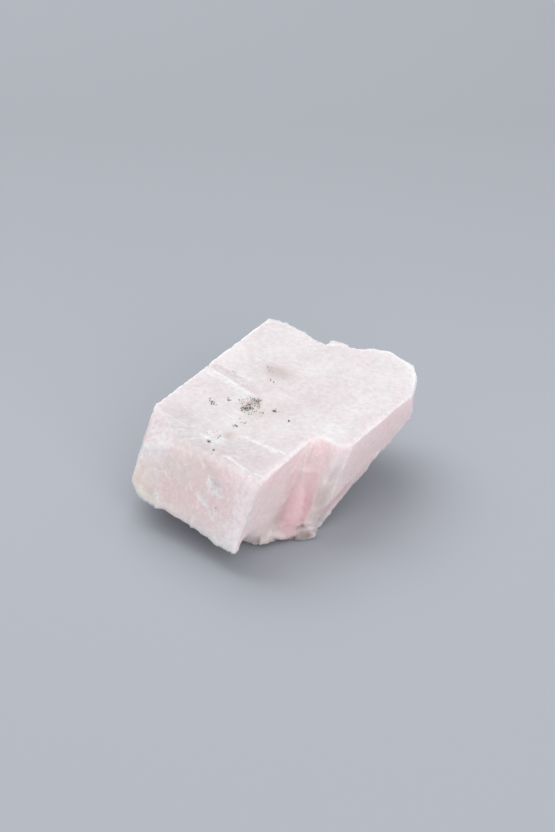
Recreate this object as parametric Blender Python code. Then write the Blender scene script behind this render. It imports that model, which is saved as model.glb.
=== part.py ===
"""A calcite cleavage fragment, lying on the flat face it split along.

Calcite splits along three directions that meet at 101.92 degrees, so every sharp
edge of the fragment runs along one of three lattice edges. Places are given in this
crystal frame, in millimetres along those edges, from the sharp front corner of the
top face:

    a  along the long top edge, to the back right
    b  along the short top edge, to the front right
    c  along the third edge, downwards

The top face lies in the plane c = 0 and the resting face in the plane c = DEPTH.
"""

from math import cos, radians, sin, sqrt
from random import Random

import bmesh
import bpy
from mathutils import Matrix, Vector, noise

MM = 0.001

# Driving dimensions: lengths in millimetres along the lattice edges.
CLEAVAGE_ANGLE = radians(101.92)   # between any two lattice edges
LONG_EDGE_HEADING = radians(57.8)  # the long top edge, seen from above, from +X
LONG = 82.5                        # main block along a
WIDE = 58.2                        # main block along b
DEPTH = 36.4                       # top face to resting face along c
STEP_AT = 34.0                     # where the side block starts along a
SIDE_OUT = 13.3                    # how far the side block stands out along b
SIDE_FROM = -30.4                  # where the side block's back end starts along b
LEDGE_DEPTH = 27.4                 # underside of the overhanging front end along c
BASE_INSET = 13.0                  # how far the foot stands back from the front end

# Broken surfaces.
CELL = 3.0                         # spacing of the facets on a fracture
HACKLE = 0.55                      # how far a fracture's facets stand in or out
WORN = 0.15                        # the same where a worn facet faces up
ABOVE_BASE = 0.2                   # a broken point stays this far above the resting face
FACES_UP = 0.1                     # a facet whose normal rises more than this faces up
COARSE = 210.0                     # fracture lumps per metre
FINE = 620.0                       # smaller lumps per metre
FLAT_WITHIN = 0.9995               # a face this parallel to a cleavage is a cleavage
BREAK_SEED = 1795479167            # sets the noise, so that every build breaks the same way


def lattice_edges():
    """The three lattice edges as unit vectors: a and b level, c pointing down."""
    edge_a = Vector((cos(LONG_EDGE_HEADING), sin(LONG_EDGE_HEADING), 0.0))
    heading_b = LONG_EDGE_HEADING - CLEAVAGE_ANGLE
    edge_b = Vector((cos(heading_b), sin(heading_b), 0.0))
    between = (edge_a + edge_b).normalized()
    level = cos(CLEAVAGE_ANGLE) / cos(CLEAVAGE_ANGLE / 2.0)
    edge_c = between * level - Vector((0.0, 0.0, sqrt(1.0 - level * level)))
    return edge_a, edge_b, edge_c


EDGES = lattice_edges()


def crystal(a, b, c):
    """A point of the crystal frame, in metres."""
    return (EDGES[0] * a + EDGES[1] * b + EDGES[2] * c) * MM


def cleavage_normals():
    """Unit normals of the three cleavages."""
    edge_a, edge_b, edge_c = EDGES
    pairs = ((edge_b, edge_c), (edge_c, edge_a), (edge_a, edge_b))
    return [first.cross(second).normalized() for first, second in pairs]


def clear_scene():
    for item in list(bpy.data.objects):
        bpy.data.objects.remove(item, do_unlink=True)


def linked_object(name, bm):
    mesh = bpy.data.meshes.new(name)
    bm.to_mesh(mesh)
    bm.free()
    item = bpy.data.objects.new(name, mesh)
    bpy.context.scene.collection.objects.link(item)
    return item


# ---------------------------------------------------------------- whole blocks

def top_outline():
    """Outline of the top face as (a, b): two cleavage blocks and a crumbled rim."""
    left_end = [(0.0, 0.0), (0.0, -51.1), (9.7, -57.5)]
    back_left = [(40.0, -57.6), (45.0, -WIDE), (LONG, -WIDE)]
    back_right = [(84.2, -51.0), (83.6, -42.0), (82.2, -36.0), (LONG - 0.6, SIDE_FROM)]
    shoulder = [(85.6, SIDE_FROM), (87.4, -26.5), (87.6, -22.0), (89.0, -17.5)]
    far_rim = [(91.8, -16.4), (94.2, -11.0), (96.2, -7.0), (96.3, -1.5)]
    right_end = [(94.7, 4.0), (92.0, 9.2), (84.8, SIDE_OUT)]
    step = [(38.4, SIDE_OUT), (STEP_AT, 10.4), (STEP_AT, 0.0)]
    return left_end + back_left + back_right + shoulder + far_rim + right_end + step


def prism():
    """The top outline carried down the third lattice edge to the resting face."""
    bm = bmesh.new()
    corners = [bm.verts.new(crystal(a, b, 0.0)) for a, b in top_outline()]
    top = bm.faces.new(corners)
    bm.normal_update()
    if top.normal.z < 0.0:
        top.normal_flip()
    sides = bmesh.ops.extrude_face_region(bm, geom=[top], use_keep_orig=True)
    lower = [item for item in sides["geom"] if isinstance(item, bmesh.types.BMVert)]
    bmesh.ops.translate(bm, verts=lower, vec=crystal(0.0, 0.0, DEPTH))
    bmesh.ops.recalc_face_normals(bm, faces=bm.faces)
    return bm


def trim(bm, first, second, third):
    """Break off what lies beyond the plane through three crystal points."""
    origin = crystal(*first)
    normal = (crystal(*second) - origin).cross(crystal(*third) - origin)
    middle = crystal(44.0, -22.0, 16.0)
    if normal.dot(middle - origin) > 0.0:
        normal.negate()
    everything = bm.verts[:] + bm.edges[:] + bm.faces[:]
    bmesh.ops.bisect_plane(bm, geom=everything, plane_co=origin, plane_no=normal,
                           dist=1e-7, clear_outer=True)
    rim = [edge for edge in bm.edges if edge.is_boundary]
    bmesh.ops.holes_fill(bm, edges=rim, sides=0)
    bmesh.ops.recalc_face_normals(bm, faces=bm.faces)


def trim_outside(bm):
    """The large breaks that round off the block's ends and its underside."""
    # Left end: its upright edge leans, and the lower corner is broken off.
    trim(bm, (9.9, -57.6, 0.0), (0.0, -51.2, 14.0), (11.5, -57.6, 20.0))
    trim(bm, (0.0, -51.4, 22.4), (0.0, -44.0, 27.0), (14.0, -58.0, 22.6))
    # Left end: a dull facet between the top face and the front face.
    trim(bm, (0.0, -51.4, 8.8), (0.0, -35.5, 0.0), (8.5, -54.0, 0.0))
    # Front: the crease between the top face and the front face is worn.
    trim(bm, (2.6, -36.0, 0.0), (0.0, -36.0, 1.3), (0.0, -2.0, 1.1))
    # Front: the upright edge is worn.
    trim(bm, (0.0, -0.9, 3.0), (0.9, 0.0, 3.0), (0.0, -1.5, 29.0))
    # Back left: the underside slopes in to the foot.
    trim(bm, (19.0, -42.0, DEPTH), (64.0, -44.0, DEPTH), (40.0, -WIDE, 23.5))
    # Right side: a narrow lower strip leans in below the ridge.
    trim(bm, (37.0, SIDE_OUT, 22.4), (64.0, SIDE_OUT, 18.2), (50.0, 12.2, 30.5))
    # Right side: the underside slopes in from the lower strip to the foot.
    trim(bm, (41.0, 12.0, 35.4), (75.5, 12.0, 18.9), (66.0, -16.0, DEPTH))
    # Right end: a steep face turns the corner.
    trim(bm, (77.6, SIDE_OUT, 0.0), (83.8, SIDE_OUT, 10.4), (89.4, 5.6, 0.0))
    # Right end and far rim: the top edge has crumbled.
    trim(bm, (80.0, 10.6, 0.0), (89.5, 1.5, 0.0), (86.0, 9.4, 1.8))
    trim(bm, (90.6, -14.0, 0.0), (91.0, 2.0, 0.0), (95.0, -4.0, 1.8))
    # Back right: the underside slopes in to the foot.
    trim(bm, (92.0, 0.0, 16.5), (90.0, -27.0, 19.0), (67.0, -20.0, DEPTH))
    # Back corner: broken off below the top face.
    trim(bm, (LONG, -46.0, 14.0), (70.0, -WIDE, 16.0), (64.0, -44.0, DEPTH))


# --------------------------------------------------------- chunks and cutters

def chunk(corners):
    """The convex solid that spans some crystal points."""
    bm = bmesh.new()
    for corner in corners:
        bm.verts.new(crystal(*corner))
    hull = bmesh.ops.convex_hull(bm, input=bm.verts)
    inner = [item for item in hull["geom_interior"] if isinstance(item, bmesh.types.BMVert)]
    bmesh.ops.delete(bm, geom=inner, context="VERTS")
    bmesh.ops.recalc_face_normals(bm, faces=bm.faces)
    return bm


def rhomb(a_range, b_range, c_range):
    """A lattice block: its faces are all cleavages."""
    return chunk([(a, b, c) for a in a_range for b in b_range for c in c_range])


def gather(parts):
    """Several closed solids in one mesh."""
    bm = bmesh.new()
    for part in parts:
        mesh = bpy.data.meshes.new("part")
        part.to_mesh(mesh)
        part.free()
        bm.from_mesh(mesh)
        bpy.data.meshes.remove(mesh)
    return bm


def combine(item, cutter_bm, name, operation):
    """Cut one mesh from the crystal, or join one to it, and keep the result."""
    cutter = linked_object(name, cutter_bm)
    cutter.hide_render = True
    cutter.display_type = "WIRE"
    boolean = item.modifiers.new(name, "BOOLEAN")
    boolean.operation = operation
    boolean.solver = "EXACT"
    boolean.use_self = True
    boolean.object = cutter
    graph = bpy.context.evaluated_depsgraph_get()
    mesh = bpy.data.meshes.new_from_object(item.evaluated_get(graph))
    item.modifiers.clear()
    item.data = mesh
    bpy.data.objects.remove(cutter, do_unlink=True)


def under_cuts():
    """Blocks missing from below: the front end overhangs the foot."""
    low = DEPTH + 4.0
    left_profile = [(-9.0, LEDGE_DEPTH - 0.6), (BASE_INSET, LEDGE_DEPTH + 0.4),
                    (BASE_INSET + 8.0, low), (-9.0, low)]
    corner_profile = [(-9.0, 31.4), (0.0, 31.1), (5.5, LEDGE_DEPTH + 0.3), (12.2, 32.4),
                      (19.5, low - 3.6), (21.5, low), (-9.0, low)]
    dips = ((-70.0, -0.9), (-16.0, 0.7))
    left = chunk([(a, b, c + dip) for b, dip in dips for a, c in left_profile])
    corner = chunk([(a, b, c) for b in (-17.0, 9.0) for a, c in corner_profile])
    return gather([left, corner])


def skirt():
    """The broken lower edge under the front side, which flares out to the foot."""
    streak = [(12.5, -0.6, 29.6), (23.0, 0.0, 31.2), (29.4, 3.4, 32.4), (33.6, 8.6, 32.8)]
    rim = [(13.6, -1.6, 33.5), (17.4, 2.1, 34.1), (25.0, 3.4, 34.1), (28.8, 6.5, 34.3), (33.0, 10.6, 34.2)]
    foot = [(18.0, -4.0, DEPTH), (25.0, 1.0, DEPTH), (31.0, 5.0, DEPTH), (35.0, 9.0, DEPTH)]
    inside = [(20.0, -8.0, 30.0), (40.0, 2.0, 30.0), (22.0, -9.0, DEPTH), (42.0, -2.0, DEPTH)]
    return chunk(streak + rim + foot + inside)


def step_web():
    """A narrow web left standing in the corner of the step, wider towards the foot."""
    side = [(31.6, -0.2, 14.0), (29.6, -0.2, 22.0), (26.0, -0.1, 31.4)]
    wall = [(33.6, 0.1, 9.0), (34.2, 2.2, 14.0), (34.2, 4.4, 22.0), (34.0, 8.0, 31.4)]
    foot = [(24.0, -2.0, DEPTH), (36.0, 8.4, DEPTH)]
    inside = [(38.0, -3.0, 9.0), (38.0, -3.0, DEPTH)]
    return chunk(side + wall + foot + inside)


def lump():
    """A glassy lump left standing at the foot of the step's outer edge."""
    upper = [(27.6, 6.4, 32.4), (31.4, 8.7, 32.2), (34.6, 12.4, 30.6), (37.0, 12.6, 33.0)]
    lower = [(30.0, 7.2, 35.8), (32.1, 11.8, 36.0), (34.8, 13.4, 35.4), (38.2, 13.2, 34.4)]
    foot = [(31.6, 7.6, DEPTH), (32.6, 11.0, DEPTH), (36.6, 11.8, DEPTH), (39.0, 7.0, DEPTH)]
    return chunk(upper + lower + foot)


def surface_cuts():
    """Shallow cleavage steps, a groove and pits on the top and front faces."""
    above = -2.0
    front_step = chunk([(18.6, 6.0, 0.4), (15.0, -22.6, -0.02), (-3.0, -24.5, -0.02), (-3.0, 6.0, 1.0),
                        (18.6, 6.0, above), (15.0, -22.6, above), (-3.0, -24.5, above), (-3.0, 6.0, above)])
    groove = chunk([(45.8, -62.0, 0.1), (42.0, -62.0, 0.7), (44.8, -37.0, 0.05), (41.6, -37.0, 0.05),
                    (46.4, -62.0, above), (41.4, -62.0, above), (45.2, -37.0, above), (41.2, -37.0, above)])
    grain_pit = chunk([(31.4, -32.4, 0.6), (35.6, -32.0, 0.7), (35.0, -28.2, 0.8), (30.6, -28.4, 0.6),
                       (29.8, -34.0, above), (37.5, -33.8, above), (36.8, -26.4, above), (28.4, -27.0, above)])
    face_pit = chunk([(1.3, -18.9, 9.2), (0.9, -17.2, 9.8), (1.1, -18.0, 11.6),
                      (-1.0, -21.6, 7.6), (-1.0, -16.4, 7.2), (-1.0, -15.0, 12.6), (-1.0, -19.4, 13.0)])
    return gather([front_step, groove, grain_pit, face_pit])


def worn_top_edge():
    """A long sliver worn off the top face's front right edge, to nothing at the step."""
    front = [(-2.0, -1.8, 0.0), (-2.0, 0.0, 3.1), (-2.0, 3.0, -3.0)]
    back = [(33.6, 0.1, 0.0), (33.6, 0.1, 0.1), (33.6, 3.0, -3.0)]
    return chunk(front + back)


def chips(seed, start, end, count, along, size):
    """Lattice chips missing along a sharp edge; along names the edge's own axis."""
    dice = Random(seed)
    parts = []
    for _ in range(count):
        share = dice.random()
        place = [low + (high - low) * share for low, high in zip(start, end)]
        half = [size * dice.uniform(0.25, 1.0) for _ in range(3)]
        half[along] = size * dice.uniform(1.2, 3.6)
        spans = [(middle - reach, middle + reach) for middle, reach in zip(place, half)]
        parts.append(rhomb(*spans))
    return parts


def edge_chips():
    """Chips along the edges that stand out against what lies behind them."""
    parts = []
    parts += chips(3, (0.0, -46.0, 27.0), (0.0, -18.0, 27.4), 9, 1, 0.7)
    parts += chips(5, (5.0, 0.0, 27.4), (1.0, -1.0, 29.4), 3, 0, 0.6)
    parts += chips(34, (40.0, SIDE_OUT, 0.0), (76.0, SIDE_OUT, 0.0), 8, 0, 0.45)
    parts += chips(55, (14.0, -WIDE, 0.0), (80.0, -WIDE, 0.0), 9, 0, 0.5)
    parts += chips(89, (STEP_AT, 0.6, 0.0), (STEP_AT, 9.8, 0.0), 3, 1, 0.4)
    return gather(parts)


# ------------------------------------------------------------ broken surfaces

def is_cleavage(face, normals):
    return any(abs(face.normal.dot(normal)) > FLAT_WITHIN for normal in normals)


def score_fractures(bm, normals):
    """Cut the fracture faces into lattice cells, so that they can be roughened."""
    spans = {0: (-3.0, 96.0), 1: (-60.0, 15.0), 2: (0.0, DEPTH)}
    for axis, (low, high) in spans.items():
        unit = [0.0, 0.0, 0.0]
        place = low
        while place < high:
            unit[axis] = place
            broken = [face for face in bm.faces if not is_cleavage(face, normals)]
            edges = dict.fromkeys(edge for face in broken for edge in face.edges)
            verts = dict.fromkeys(vert for face in broken for vert in face.verts)
            bmesh.ops.bisect_plane(bm, geom=list(verts) + list(edges) + broken, dist=2e-5,
                                   plane_co=crystal(*unit), plane_no=normals[axis])
            place += CELL


def roughen(bm, normals):
    """Push the fracture points in and out; cleavage planes stay truly flat."""
    noise.seed_set(BREAK_SEED)
    shifts = {}
    for vert in bm.verts:
        flat = [face.normal for face in vert.link_faces if is_cleavage(face, normals)]
        if len(flat) == len(vert.link_faces):
            continue
        broken = [face.normal.z for face in vert.link_faces if not is_cleavage(face, normals)]
        reach = MM * (WORN if max(broken) > FACES_UP else HACKLE)
        shift = noise.noise_vector(vert.co * COARSE) + noise.noise_vector(vert.co * FINE) * 0.4
        for normal in flat:
            shift -= normal * shift.dot(normal)
        if len(flat) < 2:
            shifts[vert] = shift * reach
    base = crystal(0.0, 0.0, DEPTH).z
    clear = base + ABOVE_BASE * MM
    for vert, shift in shifts.items():
        rests = vert.co.z < (base + clear) / 2.0
        vert.co += shift
        vert.co.z = base if rests else max(vert.co.z, clear)


def finish_mesh(item):
    """Roughen the breaks and stand the crystal on the middle of its resting face."""
    normals = cleavage_normals()
    bm = bmesh.new()
    bm.from_mesh(item.data)
    bmesh.ops.remove_doubles(bm, verts=bm.verts, dist=2e-6)
    bmesh.ops.dissolve_limit(bm, angle_limit=radians(0.2), verts=bm.verts, edges=bm.edges)
    bm.normal_update()
    score_fractures(bm, normals)
    bm.normal_update()
    roughen(bm, normals)
    bmesh.ops.triangulate(bm, faces=bm.faces)
    low = Vector(min(vert.co[axis] for vert in bm.verts) for axis in range(3))
    high = Vector(max(vert.co[axis] for vert in bm.verts) for axis in range(3))
    origin = Vector(((low.x + high.x) / 2.0, (low.y + high.y) / 2.0, low.z))
    bmesh.ops.transform(bm, matrix=Matrix.Translation(-origin), verts=bm.verts)
    bm.to_mesh(item.data)
    bm.free()


def calcite():
    material = bpy.data.materials.new("milky pink calcite")
    material.use_nodes = True
    shader = material.node_tree.nodes["Principled BSDF"]
    shader.inputs["Base Color"].default_value = (0.80, 0.68, 0.70, 1.0)
    shader.inputs["Roughness"].default_value = 0.45
    shader.inputs["Metallic"].default_value = 0.0
    shader.inputs["IOR"].default_value = 1.6
    return material


def calcite_crystal():
    bm = prism()
    trim_outside(bm)
    item = linked_object("calcite_crystal", bm)
    combine(item, under_cuts(), "under_cuts", "DIFFERENCE")
    combine(item, skirt(), "skirt", "UNION")
    combine(item, step_web(), "step_web", "UNION")
    combine(item, lump(), "lump", "UNION")
    combine(item, surface_cuts(), "surface_cuts", "DIFFERENCE")
    combine(item, worn_top_edge(), "worn_top_edge", "DIFFERENCE")
    combine(item, edge_chips(), "edge_chips", "DIFFERENCE")
    finish_mesh(item)
    item.data.materials.clear()
    item.data.materials.append(calcite())


clear_scene()
calcite_crystal()
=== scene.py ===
from math import cos, radians, sin, sqrt
from random import Random

import bmesh
import bpy
import numpy as np
from mathutils import Matrix, Vector, kdtree, noise
from mathutils.bvhtree import BVHTree


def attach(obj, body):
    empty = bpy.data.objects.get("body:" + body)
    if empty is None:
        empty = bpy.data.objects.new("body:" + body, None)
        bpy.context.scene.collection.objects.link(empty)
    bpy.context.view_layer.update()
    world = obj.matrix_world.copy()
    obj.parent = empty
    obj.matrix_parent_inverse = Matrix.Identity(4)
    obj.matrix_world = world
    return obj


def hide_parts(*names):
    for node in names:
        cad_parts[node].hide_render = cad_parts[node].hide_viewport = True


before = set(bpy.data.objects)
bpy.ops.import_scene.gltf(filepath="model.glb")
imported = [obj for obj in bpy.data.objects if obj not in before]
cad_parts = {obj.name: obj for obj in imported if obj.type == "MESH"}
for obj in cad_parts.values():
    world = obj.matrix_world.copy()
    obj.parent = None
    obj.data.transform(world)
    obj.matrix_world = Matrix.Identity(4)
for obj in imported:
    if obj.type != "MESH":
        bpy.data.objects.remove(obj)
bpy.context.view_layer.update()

MM = 0.001

# ------------------------------------------------------------------ the lattice
# Calcite splits along three directions that meet at 101.92 degrees. Every place on
# the fragment is given along those lattice edges, in millimetres from the sharp front
# corner of its top face: a to the back right, b to the front right, c downwards.

CLEAVAGE_ANGLE = radians(101.92)
LONG_EDGE_HEADING = radians(57.8)
BACK_LEFT_FACE = -58.2

level = cos(CLEAVAGE_ANGLE) / cos(CLEAVAGE_ANGLE / 2)
heading_b = LONG_EDGE_HEADING - CLEAVAGE_ANGLE
edge_a = Vector((cos(LONG_EDGE_HEADING), sin(LONG_EDGE_HEADING), 0))
edge_b = Vector((cos(heading_b), sin(heading_b), 0))
edge_c = (edge_a + edge_b).normalized() * level - Vector((0, 0, sqrt(1 - level * level)))
lattice = Matrix((edge_a, edge_b, edge_c)).transposed()
unlattice = np.array(lattice.inverted())
cleavages = [row.normalized() for row in lattice.inverted()]

crystal_node = bpy.data.objects["calcite_crystal"]
node_points = np.array([vert.co for vert in crystal_node.data.vertices])
lowest = (node_points @ unlattice.T).min(axis=0) - np.array((0, BACK_LEFT_FACE * MM, 0))
FRONT_CORNER = lattice @ Vector(lowest)


def place(a, b, c):
    """A lattice place, in millimetres, as a point of the frame, in metres."""
    return FRONT_CORNER + lattice @ (Vector((a, b, c)) * MM)


# ------------------------------------------------------------------- the camera
# It stands 0.9 m off and looks towards +Y and 30 degrees down, so that the front
# corner of the top face lands a little under the middle of the view.

FRAME_H = 832
LENS = 121.15
SENSOR = 36.0
LOOK_DOWN = radians(30.0)
FRONT_CORNER_DEPTH = 0.896
FRONT_CORNER_RIGHT = -15.5
FRONT_CORNER_DOWN = 64.0

camera = bpy.data.objects.new("camera", bpy.data.cameras.new("camera"))
bpy.context.scene.collection.objects.link(camera)
camera.data.lens = LENS
camera.data.sensor_width = SENSOR
camera.data.clip_start = 0.01
camera.rotation_euler = (radians(90.0) - LOOK_DOWN, 0.0, 0.0)
pixel = FRONT_CORNER_DEPTH * SENSOR / LENS / FRAME_H
offset = Vector((FRONT_CORNER_RIGHT * pixel, -FRONT_CORNER_DOWN * pixel, -FRONT_CORNER_DEPTH))
camera.location = FRONT_CORNER - camera.rotation_euler.to_matrix() @ offset
bpy.context.scene.camera = camera

# ------------------------------------------------- the studio: table and lights
# A pale grey sheet lies under the fragment; further back its colour is painted darker, as shade
# where the light falls off. The white room lights it from all round, with a wide soft light high
# behind on the left and a weaker one in front.

FLOOR_SIZE = 6.0
FLOOR_COLOUR = (0.400, 0.421, 0.465, 1.0)
# the sheet far behind: painted shade where the light falls off
FAR_FLOOR_COLOUR = (0.339, 0.354, 0.390, 1.0)
FAR_FLOOR_FROM = 0.03
FAR_FLOOR_TO = 0.30
ROOM_COLOUR = (1.0, 1.0, 1.0, 1.0)
ROOM_STRENGTH = 0.59


def soft_light(name, heading, height, distance, size, power):
    """A round soft light that looks at the fragment; its place is given by two angles."""
    light = bpy.data.objects.new(name, bpy.data.lights.new(name, "AREA"))
    light.data.shape = "DISK"
    light.data.size = size
    light.data.energy = power
    away = Vector((cos(heading) * cos(height), sin(heading) * cos(height), sin(height)))
    light.location = away * distance
    light.rotation_euler = (-away).to_track_quat("-Z", "Y").to_euler()
    bpy.context.scene.collection.objects.link(light)


soft_light("back_light", heading=radians(110), height=radians(55),
           distance=1.3, size=1.3, power=11.4)
soft_light("front_light", heading=radians(291), height=radians(26),
           distance=1.6, size=1.3, power=12.2)

bm = bmesh.new()
bmesh.ops.create_grid(bm, x_segments=1, y_segments=1, size=FLOOR_SIZE / 2)
floor = bpy.data.objects.new("table_sheet", bpy.data.meshes.new("table_sheet"))
bm.to_mesh(floor.data)
bm.free()
bpy.context.scene.collection.objects.link(floor)

sheet_finish = bpy.data.materials.new("pale grey sheet")
sheet_finish.use_nodes = True
sheet_shader = sheet_finish.node_tree.nodes["Principled BSDF"]
sheet_place = sheet_finish.node_tree.nodes.new("ShaderNodeTexCoord")
sheet_axes = sheet_finish.node_tree.nodes.new("ShaderNodeSeparateXYZ")
sheet_depth = sheet_finish.node_tree.nodes.new("ShaderNodeMapRange")
sheet_depth.inputs["From Min"].default_value = FAR_FLOOR_FROM
sheet_depth.inputs["From Max"].default_value = FAR_FLOOR_TO
sheet_tone = sheet_finish.node_tree.nodes.new("ShaderNodeMix")
sheet_tone.data_type = "RGBA"
sheet_tone.inputs[6].default_value = FLOOR_COLOUR
sheet_tone.inputs[7].default_value = FAR_FLOOR_COLOUR
for source, target in (
    (sheet_place.outputs["Object"], sheet_axes.inputs[0]),
    (sheet_axes.outputs[1], sheet_depth.inputs["Value"]),
    (sheet_depth.outputs[0], sheet_tone.inputs[0]),
    (sheet_tone.outputs[2], sheet_shader.inputs["Base Color"]),
):
    sheet_finish.node_tree.links.new(source, target)
sheet_shader.inputs["Roughness"].default_value = 0.9
sheet_shader.inputs["Specular IOR Level"].default_value = 0.0
floor.data.materials.append(sheet_finish)

room = bpy.data.worlds.new("room")
room.use_nodes = True
room.node_tree.nodes["Background"].inputs["Color"].default_value = ROOM_COLOUR
room.node_tree.nodes["Background"].inputs["Strength"].default_value = ROOM_STRENGTH
bpy.context.scene.world = room
bpy.context.scene.view_settings.view_transform = "Standard"

# ------------------------------------------------------------- calcite_crystal
# One cleavage fragment of milky pink calcite. It grew as one crystal and split along
# its lattice, so its faces are flat with low steps, and its breaks are rough and white.

FINE_CELL = 0.6
COARSE_CELL = 1.6
CELLS_FROM = (-1.0, BACK_LEFT_FACE, 0.0)
CELLS_TO = (97.0, 15.0, 37.0)
UNDERSIDE = -0.45
SAME_POINT = 2e-6
SAME_PLANE = radians(0.3)
FLAT_WITHIN = 0.9995
SHARP_EDGE = radians(32)
SHADED_EDGE = radians(28)
CRUMB_REACH = 0.7
GROWTH_SEED = 13

bm = bmesh.new()
bm.from_mesh(crystal_node.data)
bmesh.ops.remove_doubles(bm, verts=bm.verts, dist=SAME_POINT)
bmesh.ops.dissolve_limit(bm, angle_limit=SAME_PLANE, verts=bm.verts, edges=bm.edges)
bm.normal_update()


def score(spacing, wanted):
    """Cut the wanted faces into lattice cells."""
    for axis, (low, high) in enumerate(zip(CELLS_FROM, CELLS_TO)):
        for number in range(1, int((high - low) / spacing)):
            cut = [0.0, 0.0, 0.0]
            cut[axis] = low + number * spacing
            faces = [face for face in bm.faces if wanted(face)]
            edges = dict.fromkeys(edge for face in faces for edge in face.edges)
            verts = dict.fromkeys(vert for face in faces for vert in face.verts)
            bmesh.ops.bisect_plane(bm, geom=list(verts) + list(edges) + faces, dist=1e-5,
                                   plane_co=place(*cut), plane_no=cleavages[axis])


score(COARSE_CELL, lambda face: face.normal.z <= UNDERSIDE)
score(FINE_CELL, lambda face: face.normal.z > UNDERSIDE)
bmesh.ops.triangulate(bm, faces=bm.faces[:])
bm.normal_update()
bm.verts.ensure_lookup_table()

points = np.array([vert.co for vert in bm.verts]) / MM


def lattice_places():
    """The lattice place of every point."""
    return (points - np.array(FRONT_CORNER) / MM) @ unlattice.T


def drift(size, start):
    """Smooth noise vectors at the points; size is the length of one swell in mm."""
    begin = Vector((start, start * 1.7, start * 2.3))
    return np.array([noise.noise_vector(Vector(point) / size + begin) for point in points])


def along(path, width, wander=0.0):
    """How near each point is to a broken line: 1 on it, fading over width millimetres."""
    moved = points + wander * swell
    corners = [np.array(place(*corner)) / MM for corner in path]
    nearest = np.full(len(points), np.inf)
    for start, end in zip(corners, corners[1:]):
        reach = end - start
        share = np.clip((moved - start) @ reach / (reach @ reach), 0.0, 1.0)
        gap = np.linalg.norm(moved - start - share[:, None] * reach, axis=1)
        nearest = np.minimum(nearest, gap)
    return np.exp(-(nearest / width) ** 2)


def around(middle, reach, wander=0.0):
    """How near each point is to a lattice place: 1 there, fading over reach (a, b, c)."""
    gap = (cells - np.array(middle) + wander * swell) / np.array(reach)
    return np.exp(-(gap ** 2).sum(axis=1))


cells = lattice_places()
noise.seed_set(GROWTH_SEED)
swell = drift(3.5, 11.0)
ripple = drift(1.1, 23.0)
patch = drift(14.0, 5.0)

# Worn edges: the creases round the front corner and in the step are soft, not sharp, and
# the corner of the step and the skirt below it are rounder still.
worn = np.zeros(len(points))
for path, width, strength in (
    (((0, 0, 0.8), (34, 0, 0.2)), 2.0, 0.6),
    (((0, 0, 1), (0, 0, 29)), 1.6, 0.6),
    (((37, 13.3, 0), (84, 13.3, 0)), 1.1, 0.5),
    (((88, -22, 0), (92, -15, 0), (96, -6, 0), (95.6, 2, 0), (91, 10, 0), (85, 13.3, 0)),
     1.6, 0.7),
    (((96, -6, 0), (95.6, 2, 6), (88, 11, 6)), 1.6, 0.5),
    (((34, 12.4, 0), (34.4, 12.6, 30)), 1.6, 0.5),
    (((14, 0, 30), (25, 1, 31.5), (34, 9, 33)), 2.0, 0.5),
):
    worn = np.maximum(worn, strength * along(path, width))
hollow = np.zeros(len(points))
for path, width, strength in (
    (((33.4, 1, 4), (33.4, 1.2, 33)), 3.6, 0.9),
    (((0.4, -46, 1), (0.4, -3, 0.6)), 3.0, 0.8),
    (((0, -34, 27), (0, -26, 28), (0, -19, 29), (0, -12, 30)), 2.2, 0.5),
    (((34, 12.4, 2.5), (34.4, 12.6, 30)), 2.2, 0.6),
):
    hollow = np.maximum(hollow, strength * along(path, width))
ledge = 0.95 * along(((10, 0.3, 30.5), (24, 0.6, 31), (32, 4, 31.5)), 5.0)
pairs = np.array([[vert.index for vert in edge.verts] for edge in bm.edges])
meetings = np.bincount(pairs.ravel(), minlength=len(points))
# Each is smoothed for some rounds, down to a depth below which the foot stays flat.
for softness, rounds, down_to in ((worn, 14, 35.9), (hollow, 45, 35.0), (ledge, 110, 34.2)):
    softness[cells[:, 2] > down_to] = 0.0
    for _ in range(rounds):
        for axis in range(3):
            near = np.bincount(pairs[:, 0], points[pairs[:, 1], axis], len(points))
            near += np.bincount(pairs[:, 1], points[pairs[:, 0], axis], len(points))
            points[:, axis] += softness * (near / meetings - points[:, axis])
for vert, point in zip(bm.verts, points):
    vert.co = Vector(point) * MM
bm.normal_update()
cells = lattice_places()

# Sharp edges: every edge chips white, in crumbs smaller than a millimetre.
sharp = [edge for edge in bm.edges
         if edge.is_manifold and edge.calc_face_angle() > SHARP_EDGE]
tree = kdtree.KDTree(2 * len(sharp))
for number, edge in enumerate(sharp):
    for end in (0, 1):
        tree.insert(edge.verts[end].co, 2 * number + end)
tree.balance()
edge_gap = np.array([tree.find(vert.co)[2] for vert in bm.verts]) / MM
crumbled = np.exp(-(edge_gap / CRUMB_REACH) ** 2)

normals = np.array([vert.normal for vert in bm.verts])
# Top shading: 1 where a face looks up, 0 where it stands. It parts the top face's paler, duller
# colours from those of the sides: one calcite in lit and shaded copies, painted darker on the top
# face and lighter on the sides, to even out the light that falls from above.
top_shading = np.clip((normals[:, 2] - 0.45) / 0.52, 0.0, 1.0)
top_face = top_shading * np.clip(2.5 - np.abs(cells[:, 2]), 0.0, 1.0)
front_face = np.clip(1.5 - np.abs(cells[:, 0]), 0.0, 1.0)
clear_front = around((8, -16, 0), (17, 30, 3))
clear_heart = np.clip(3.0 * around((0, -25, 15), (5, 18, 15), 1.0) - 0.5, 0.0, 1.0)

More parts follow.
